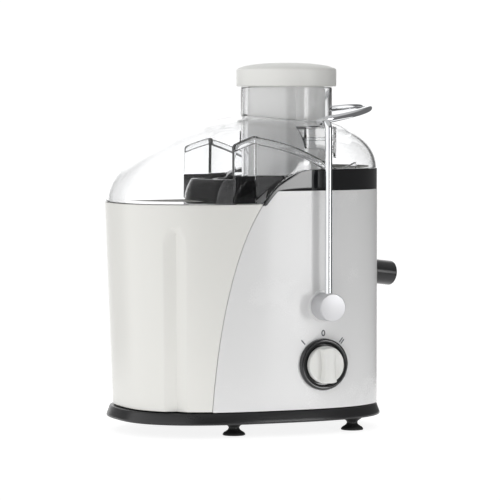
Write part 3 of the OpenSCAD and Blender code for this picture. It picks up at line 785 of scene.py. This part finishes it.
def bowl_cup():
    """Round cup with a hub for the drive and a drain into the spout."""
    shape = Shape()
    inner = BOWL_R - BOWL_WALL
    floor = BOWL_FLOOR + BOWL_WALL
    hub, hub_inner, hub_top = 18, 15.5, floor + 21
    profile = [
        (hub_inner, BOWL_FLOOR), (BOWL_R, BOWL_FLOOR), (BOWL_R, CUP_TOP), (inner, CUP_TOP), (inner, floor),
        (hub, floor), (hub, hub_top), (hub_inner, hub_top),
    ]
    for vert in shape.turned(rounded(profile, 1.0, 3, closed=True), ON_AXIS, 128, closed=True):
        if vert.co.z > CUP_TOP - 2:
            vert.co.z += clamp(seam_height(vert.co.x) - 1 - CUP_TOP, 0, 7)
    drain = Shape()
    drain.block((AXIS_X + inner - 6, -11, SPOUT_Z - 8), (AXIS_X + BOWL_R + 6, 11, SPOUT_Z + 7))
    piece(shape, "bowl_cup", "base", FINISHES["gloss_black"], cutters=[drain])


def bowl_duct():
    """Round collar behind the duct's corners and the two walls that lead pulp over the container."""
    corner = DUCT_CORNER - Vector((AXIS_X, 0, 0))
    first = atan2(corner.y, corner.x)
    collar_end_x = 9
    last = acos((collar_end_x - AXIS_X) / COLLAR_R)

    def collar(u, v):
        angle = mix(first, last, u)
        x, y = AXIS_X + COLLAR_R * cos(angle), COLLAR_R * sin(angle)
        return Vector((x, y, mix(min(seam_height(x) - 1.5, DUCT_TOP - 1), DUCT_TOP, v)))

    def wall(u, v):
        point = mix(DUCT_CORNER, DUCT_END, u)
        return Vector((point.x, point.y, mix(DUCT_BOTTOM - 0.1, DUCT_TOP - 0.5, v)))

    for name, side in (("duct_wall_rear", 1), ("duct_wall_front", -1)):
        shape = Shape()
        shape.sheet(12, 4, collar)
        shape.sheet(8, 4, wall)
        shape.closed_up()
        bmesh.ops.solidify(shape.bm, geom=shape.bm.faces[:], thickness=2.2)
        bmesh.ops.scale(shape.bm, vec=(1, side, 1), verts=shape.bm.verts)
        piece(shape, name, "base", FINISHES["gloss_black"], edge=0.5)


def bowl_lip():
    """Glossy wall on the container's side that flares outwards as it goes down."""
    left = DUCT_END.x - 5
    corners = [(DUCT_END.x + 1, -59.5, 0), (left, -50, 0), (left, 34, 0), (-24, 46, 0), (-13, 49, 0)]
    plan = rounded(corners, 13, 8)
    heights = [(0, 202.6, 6.5), (0.3, 208, 6.0), (0.6, 214, 4.4), (0.85, 219.5, 2.0), (1, LIP_TOP, 0.4)]
    last = len(plan) - 1

    def lip(u, v):
        i = round(u * last)
        along = (Vector(plan[min(i + 1, last)]) - Vector(plan[max(i - 1, 0)])).normalized()
        height = between(v, [(share, z) for share, z, _ in heights])
        flare = between(v, [(share, grow) for share, _, grow in heights]) * min(1, u * 6)
        return Vector(plan[i]) + Vector((-along.y, along.x, 0)) * flare + Vector((0, 0, height))

    shape = Shape()
    shape.sheet(last, 20, lip)
    piece(shape, "bowl_lip", "base", FINISHES["gloss_black"], wall=2.4, edge=0.7)


def spout():
    """Panel that closes the housing's slot, and a flattened tube that droops towards its mouth."""
    half = SLOT_HALF - 0.4

    def panel(u, v):
        y = half * (2 * u - 1)
        x = HALF_L * (1 - abs(y / HALF_D) ** OVAL) ** (1 / OVAL)
        return Vector((x, y, mix(BOWL_FLOOR, HOUSING_TOP, v)))

    profile = rounded([(-2.4, 0), (0, 0), (0, SPOUT_LENGTH), (-2.4, SPOUT_LENGTH)], 1.1, 4, closed=True)
    profile.append(profile[0])
    last = len(profile) - 1
    where = Matrix.Translation((HALF_L - 12, 0, SPOUT_Z)) @ Matrix.Rotation(pi / 2 + SPOUT_DROOP, 4, "Y")

    def tube(u, v):
        grow, along = profile[round(v * last)]
        angle = 2 * pi * u
        flat = Vector(((SPOUT_HALF_H + grow) * cos(angle), (SPOUT_HALF_W + grow) * sin(angle), along))
        return where @ flat

    shape = Shape()
    shape.sheet(16, 24, panel)
    piece(
        shape, "spout_panel", "base", FINISHES["gloss_black"], wall=BOWL_WALL, edge=0.4,
    )
    shape = Shape()
    shape.sheet(72, last, tube)
    piece(shape, "spout_tube", "base", FINISHES["satin_black"], sharp=60)


# ---------------------------------------------------------------- lid


def rim_distance(angle):
    """Distance from the tube's axis to the lid's rim in a direction."""
    reach = 2 * HALF_L + 20
    return reach * first_share(
        lambda s: lid_gauge(AXIS_X + reach * s * cos(angle), reach * s * sin(angle)) > 1
    )


def lid():
    """Clear dome on the oval rim, with the feed tube through it."""
    around = 216
    reaches = [rim_distance(2 * pi * i / around) for i in range(around + 1)]

    def dome(u, v):
        angle = 2 * pi * u
        far = mix(TUBE_R - 0.3, reaches[round(u * around)], sin(v * pi / 2))
        x, y = AXIS_X + far * cos(angle), far * sin(angle)
        return Vector((x, y, dome_height(x, y)))

    shape = Shape()
    shape.sheet(around, 44, dome)
    piece(
        shape, "lid_dome", "base", FINISHES["clear_plastic"], ["lid"],
        wall=LID_WALL, edge=0.4,
    )
    shape = Shape()
    inner = TUBE_R - TUBE_WALL
    profile = rounded([(TUBE_R, TUBE_BOTTOM), (TUBE_R, TUBE_TOP), (inner, TUBE_TOP), (inner, TUBE_BOTTOM)],
                      1.1, 4, closed=True)
    shape.turned(profile, ON_AXIS, 128, closed=True)
    piece(shape, "feed_tube", "base", FINISHES["clear_plastic"])
    lid_ducts()
    ledges()


def under_dome(x, y, low):
    """Top of a wall that stands under the dome and runs up into it."""
    return max(low, dome_height(x, y) - LID_WALL + 0.2) if lid_gauge(x, y) < 0.999 else low


def lid_ducts():
    """Clear walls under the dome that carry on the bowl's collar and duct."""
    corner = DUCT_CORNER - Vector((AXIS_X, 0, 0))
    first = atan2(corner.y, corner.x)

    def standing(point, v):
        low = max(DUCT_TOP, seam_height(point.x)) + LID_GAP
        return Vector((point.x, point.y, mix(low, under_dome(point.x, point.y, low), v)))

    def collar_at(angle):
        """The collar leaves the bowl's round wall and runs out to the lid's rim at the front and rear."""
        reach = COLLAR_R + 1.3 * clamp((first - angle) / (first - radians(95)), 0, 1)
        return Vector((AXIS_X + reach * cos(angle), reach * sin(angle), 0))

    shape = Shape()
    shape.sheet(84, 8, lambda u, v: standing(collar_at(mix(first, radians(62), u)), v))
    shape.sheet(12, 8, lambda u, v: standing(mix(DUCT_CORNER, DUCT_END, u), v))
    shape.mirrored()
    piece(shape, "lid_duct", "base", FINISHES["clear_plastic"], wall=3.2, edge=0.8)

    plan = rounded([tuple(DUCT_END), tuple(DUCT_CORNER)] + [
        tuple(collar_at(mix(first, radians(82), k / 20))) for k in range(1, 21)], 1.5, 3)
    plan[1:1] = [tuple(mix(DUCT_END, DUCT_CORNER, share)) for share in (0.002, 0.02, 0.06, 0.3, 0.6)]
    last = len(plan) - 1
    sizes = [0, 0.45, 0.85] + [1] * (last - 5) + [0.85, 0.5, 0]

    def bead(u, v):
        i = round(u * last)
        point = Vector(plan[i])
        along = (Vector(plan[min(i + 1, last)]) - Vector(plan[max(i - 1, 0)])).normalized()
        out, angle, size = Vector((-along.y, along.x, 0)), 2 * pi * v, sizes[i]
        top = max(under_dome(point.x, point.y, DUCT_TOP) - 2.2, seam_height(point.x) + 4)
        return point + out * (3.0 * size * cos(angle) - 1.6) + Vector((0, 0, top + 3.4 * size * sin(angle)))

    shape = Shape()
    shape.sheet(last, 20, bead)
    shape.mirrored()
    piece(shape, "lid_duct_bead", "base", FINISHES["clear_plastic"])


def ledges():
    """Clear ledges on both sides of the tube, which the wire presses on."""

    def top_height(x):
        return PIVOT_Z + sqrt(LEDGE_R ** 2 - (x - AXIS_X) ** 2)

    def back(x, height):
        """Depth at which the dome has risen to a height."""
        return LEDGE_FRONT * (1 - first_share(lambda s: dome_height(x, LEDGE_FRONT * (1 - s)) > height))

    def wall(u, v):
        """Front and side walls in one strip, standing on the dome."""
        left, right = AXIS_X - LEDGE_HALF, AXIS_X + LEDGE_HALF
        x = clamp(mix(left - 12, right + 12, u), left, right)
        run = max(0.0, abs(mix(left - 12, right + 12, u) - AXIS_X) - LEDGE_HALF) / 12
        y = mix(LEDGE_FRONT, back(x, top_height(x)), run)
        return Vector((x, -y, mix(dome_height(x, y) - 0.5, top_height(x), v)))

    def top(u, v):
        x = mix(AXIS_X - LEDGE_HALF, AXIS_X + LEDGE_HALF, u)
        return Vector((x, -mix(LEDGE_FRONT, back(x, top_height(x)), v), top_height(x)))

    def shelf(u, v):
        """Floor that stiffens the ledge from inside."""
        inset = 0.4
        x = mix(AXIS_X - LEDGE_HALF + inset, AXIS_X + LEDGE_HALF - inset, u)
        return Vector((x, -mix(LEDGE_FRONT - inset, back(x, SHELF_Z + 1), v), SHELF_Z))

    for name, side in (("ledge_front", 1), ("ledge_rear", -1)):
        shape = Shape()
        shape.sheet(12, 4, shelf)
        bmesh.ops.scale(shape.bm, vec=(1, side, 1), verts=shape.bm.verts)
        piece(
            shape, name + "_shelf", "base", FINISHES["clear_plastic"], wall=3.2, edge=0.9,
        )
        shape = Shape()
        shape.sheet(54, 6, wall)
        shape.sheet(30, 6, top)
        bmesh.ops.scale(shape.bm, vec=(1, side, 1), verts=shape.bm.verts)
        piece(shape, name, "base", FINISHES["clear_plastic"], wall=2.4, edge=0.6)


# ---------------------------------------------------------------- pusher, bail and knob


def pusher():
    """White column with a V groove down its front, under a round cap."""
    shape = Shape()
    inner = PUSHER_R - 4
    floor = PUSHER_BOTTOM + 3
    profile = rounded([
        (0, PUSHER_BOTTOM), (PUSHER_R, PUSHER_BOTTOM), (PUSHER_R, CAP_BOTTOM), (inner, CAP_BOTTOM),
        (inner, floor), (0, floor),
    ], 1.6, 4)
    for vert in shape.turned(profile, Matrix(), 180):
        radius = hypot(vert.co.x, vert.co.y)
        aside = abs(radius * atan2(vert.co.y, vert.co.x)) if radius > 1 else GROOVE_HALF
        if radius > inner + 0.5 and aside < GROOVE_HALF:
            share = 1 - GROOVE_DEPTH * (1 - aside / GROOVE_HALF) / radius
            vert.co.x, vert.co.y = vert.co.x * share, vert.co.y * share
    turn = ON_AXIS @ Matrix.Rotation(GROOVE_TURN - pi / 2, 4, "Z")
    bmesh.ops.transform(shape.bm, matrix=turn, verts=shape.bm.verts)
    # The column takes the glowing lit copy of the trim white: painted light, not a lamp
    piece(shape, "pusher_column", "pusher", PUSHER_PAINTED_GLOW_WHITE, ["pusher_body"], sharp=30)

    side_top, low = CAP_TOP - 6.6, CAP_BOTTOM + 0.1
    angles = [radians(15 * k) for k in range(1, 7)]
    dome = [((CAP_R - 1.4) * cos(angle), side_top + 0.6 + 6.0 * sin(angle)) for angle in angles]
    profile = [(0, low)] + rounded([(30, low), (CAP_R, low), (CAP_R, side_top)], 1.0) + [
        (CAP_R - 0.25, side_top + 0.6), (CAP_R - 0.9, side_top + 1.2)] + dome
    shape = Shape()
    shape.turned(profile, ON_AXIS, 160)
    piece(shape, "pusher_top", "pusher", FINISHES["trim_white"], ["pusher_cap"], sharp=45)


def bail():
    """One bright wire: two legs that bend over the ledges into a round loop."""
    rise = sin(LOOP_RISE) / cos(LOOP_RISE)
    ahead = Vector((1, 0, rise))

    def bend(start, way, turn, steps=10):
        angles = [pi / 2 * k / steps for k in range(steps + 1)]
        return [start + BEND_R * (sin(t) * way + (1 - cos(t)) * turn) for t in angles]

    up, inwards = Vector((0, 0, 1)), Vector((0, 1, 0))
    foot = Vector((AXIS_X, -LEG_Y, PIVOT_Z + 6))
    centre = Vector((AXIS_X + BEND_R, 0, BAIL_TOP + BEND_R * rise))
    half = [foot + up * (148 * k / 6) for k in range(6)]
    half += bend(Vector((AXIS_X, -LEG_Y, BAIL_TOP - BEND_R)), up, inwards)
    half += bend(Vector((AXIS_X, -LOOP_R - BEND_R, BAIL_TOP)), inwards, ahead)
    quarter = [radians(4 * k) for k in range(1, 23)]
    half += [centre + LOOP_R * (sin(turn) * ahead - cos(turn) * inwards) for turn in quarter]
    path = half + [Vector((p.x, -p.y, p.z)) for p in reversed(half)]
    curve = bpy.data.curves.new("bail_path", "CURVE")
    curve.dimensions, curve.bevel_depth, curve.bevel_resolution = "3D", WIRE_R, 5
    curve.use_fill_caps = True
    spline = curve.splines.new("POLY")
    spline.points.add(len(path) - 1)
    for point, at in zip(spline.points, path):
        point.co = (*at, 1)
    holder = bpy.data.objects.new("bail_path", curve)
    bpy.context.scene.collection.objects.link(holder)
    seen = holder.evaluated_get(bpy.context.evaluated_depsgraph_get())
    shape = Shape()
    shape.bm.from_mesh(bpy.data.meshes.new_from_object(seen))
    bpy.data.objects.remove(holder)
    piece(shape, "bail_rod", "bail", FINISHES["chrome_wire"], ["bail_wire"])


def pivot_caps():
    depth = PIVOT_CAP_FACE - PIVOT_CAP_BACK
    cap = rounded([(0, 0), (PIVOT_CAP_R, 0), (PIVOT_CAP_R, depth), (0, depth)], 0.9)
    shaft = [(0, 1), (PIN_R, 1), (PIN_R, -16), (0, -16)]
    for name, side in (("bail_cap_front", -1), ("bail_cap_rear", 1)):
        shape = Shape()
        where = sideways(AXIS_X, side * PIVOT_CAP_BACK, PIVOT_Z, side)
        shape.turned(cap, where, 96)
        shape.turned(shaft, where, 32)
        piece(shape, name + "_turned", "bail", FINISHES["satin_silver"], [name], sharp=30)


def bezel():
    """Glossy ring with a rounded lip, let into the housing's front."""
    shape = Shape()
    where = sideways(AXIS_X, -BEZEL_FACE, KNOB_Z, -1)
    inner = KNOB_R + 1.4
    outline = [
        (inner, -2.6), (inner, -0.9), (inner + 1.3, 0), (BEZEL_R - 1.2, 0), (BEZEL_R, -1.3),
        (BEZEL_R, -9.5), (7.9, -9.5), (7.9, -11), (3.4, -11), (3.4, -2.6),
    ]
    shape.turned(rounded(outline, 0.8, 4, closed=True), where, 120, closed=True)
    piece(shape, "bezel_ring", "base", FINISHES["gloss_black"], ["dial_bezel"])


def knob():
    """Round knob with a waisted grip bar across it."""
    where = sideways(AXIS_X, -KNOB_FACE, KNOB_Z, -1)
    back, disc_r = BEZEL_FACE - 2.2 - KNOB_FACE, KNOB_R - 0.8
    shape = Shape()
    shape.turned(rounded([(3, back), (disc_r, back), (disc_r, 0), (0, 0)], 1.5, 5), where, 96)
    shape.turned([(3, back), (3, -2), (0, -2)], where, 32)

    half_height, raised = disc_r - 0.6, 8.0
    flank = [(1.10, -1), (1.04, 2), (1.0, raised - 1.5), (0.86, raised - 0.4), (0.62, raised)]
    across = [(-share, height) for share, height in flank] + [(0, raised)] + flank[::-1]

    def bar(u, v):
        """Waisted bar: u goes along its height, v over it from one side to the other."""
        along = half_height * sin(pi / 2 * (2 * u - 1))
        end = sqrt(max(0.0, 1 - (along / half_height) ** 2))
        half_width = (4.7 + 2.2 * (along / half_height) ** 2) * min(1, end * 2.2)
        share, height = across[round(v * 10)]
        low = height if height < 2 else mix(1.0, height, min(1, end * 3) ** 0.5)
        return where @ Vector((share * half_width, along, low))

    shape.sheet(36, 10, bar)
    piece(shape, "knob_dial", "knob", KNOB_WHITE, ["speed_knob"], sharp=34)


def dial_marks():
    """Printed marks I, 0 and II round the bezel, laid on the housing's curved front."""
    shape = Shape()
    height = 0.12

    def on_front(x, z, lift):
        return Vector((x, -oval_depth(x) - lift, z))

    def stroke(centre, turn, aside, half_w, half_h):
        def place(u, v):
            side, up = aside + half_w * (2 * u - 1), half_h * (2 * v - 1)
            x = centre[0] + side * cos(turn) - up * sin(turn)
            z = centre[1] + side * sin(turn) + up * cos(turn)
            return on_front(x, z, height)
        shape.sheet(2, 6, place)

    def loop(centre, half_w, half_h, thick):
        def place(u, v):
            angle, grow = 2 * pi * u, thick * (v - 0.5)
            x, z = centre[0] + (half_w + grow) * cos(angle), centre[1] + (half_h + grow) * sin(angle)
            return on_front(x, z, height)
        shape.sheet(40, 2, place)

    stroke((AXIS_X - 19.0, KNOB_Z + 19.8), radians(42), 0.0, 0.55, 2.7)
    loop((AXIS_X + 0.8, KNOB_Z + 27.3), 1.4, 2.3, 1.05)
    for aside in (-1.05, 1.05):
        stroke((AXIS_X + 20.0, KNOB_Z + 19.8), radians(-42), aside, 0.5, 2.6)
    piece(shape, "dial_marks", "base", MARK_INK, wall=0.2)


def filter_wall():
    """Perforated steel cone of the basket."""
    low, high = mesh_low.z * 1000, mesh_high.z * 1000
    shape = Shape()
    outline = [(50, low), (57, high), (56.2, high), (49.2, low)]
    shape.turned(outline, ON_AXIS, 128, closed=True)
    piece(shape, "filter_wall", "rotor", FILTER_SHEET, ["basket_mesh"])


# ---------------------------------------------------------------- camera, floor and light


def camera():
    """Long lens, low and to the left of the front."""
    azimuth, elevation, distance = radians(-22.489), radians(2.911), 2.645
    right = Vector((cos(azimuth), sin(azimuth), 0))
    target = right * 0.005754 + Vector((BODY_X / 1000, 0, 0.158122))
    back = Vector((sin(azimuth) * cos(elevation), -cos(azimuth) * cos(elevation), sin(elevation)))
    data = bpy.data.cameras.new("camera")
    data.lens, data.sensor_width, data.clip_end = 213.03, 36.0, 50.0
    made = bpy.data.objects.new("camera", data)
    made.location = target + back * distance
    made.rotation_euler = (-back).to_track_quat("-Z", "Y").to_euler()
    bpy.context.scene.collection.objects.link(made)
    bpy.context.scene.camera = made


def floor():
    """Plain white table that goes on past the view."""
    bm = bmesh.new()
    bmesh.ops.create_circle(bm, cap_ends=True, segments=96, radius=0.48)
    mesh = bpy.data.meshes.new("table")
    bm.to_mesh(mesh)
    bm.free()
    made = bpy.data.objects.new("table", mesh)
    bpy.context.scene.collection.objects.link(made)
    paint = Finish("table_white", Roughness=0.7)
    clouds = paint.noise(paint.point, 3, 2)
    paint.set("Base Color", paint.blend(clouds, (0.27, 0.27, 0.27, 1), (0.29, 0.29, 0.29, 1)))
    paint.set("Emission Color", (1, 1, 1, 1))
    paint.set("Emission Strength", 0.86)
    mesh.materials.append(paint.material)


def studio():
    """Soft light all round: bright on the left and behind, a strong strip at the front right."""
    world = bpy.data.worlds.new("studio")
    bpy.context.scene.world = world
    world.use_nodes = True
    light = Nodes(world.node_tree)
    direction = light.add("ShaderNodeTexCoord", output="Generated")
    x, y, z = light.apart(direction)
    azimuth = light.maths("ARCTAN2", x, y * -1.0) * (180 / pi)

    def panel(low, high, soft):
        """1 between two directions round the object, in degrees from the front towards the right."""
        return light.smooth_step(azimuth, low - soft, low + soft) * (
            1 - light.smooth_step(azimuth, high - soft, high + soft)
        )

    left = panel(-138, -24, 4)
    strip = panel(22, 34, 1.5) * light.smooth_step(z, -0.11, -0.05) * (1 - light.smooth_step(z, 0.3, 0.42))
    behind = 1 - panel(-172, 142, 5)
    above = light.smooth_step(z, 0.45, 0.75)
    ring = 0.16 - panel(-24, 20, 2) * 0.12 + left * 1.04 + strip * 7.0 + behind * 1.10
    strength = ring * (1 - above) + above * 0.54
    seen = light.add("ShaderNodeLightPath", output="Is Camera Ray")
    shown = seen * 1.05 + (1 - seen) * strength
    background = world.node_tree.nodes["Background"]
    light.feed(background.inputs["Color"], (1, 1, 1, 1))
    light.feed(background.inputs["Strength"], shown)
    bpy.context.scene.view_settings.view_transform = "Standard"
    bpy.context.scene.cycles.max_bounces = 24
    bpy.context.scene.cycles.transmission_bounces = 24
    bpy.context.scene.cycles.transparent_max_bounces = 24


# ---------------------------------------------------------------- assembly

camera()
floor()
studio()

slots = {part["node"]: part["material_slot"] for part in frame["record"]["subparts"]}
for node, made in frame["nodes"].items():
    made.data.materials.clear()
    made.data.materials.append(FINISHES[slots[node]])

housing()
plinth()
feet()
container()
bowl()
lid()
pusher()
bail()
pivot_caps()
bezel()
knob()
dial_marks()
filter_wall()
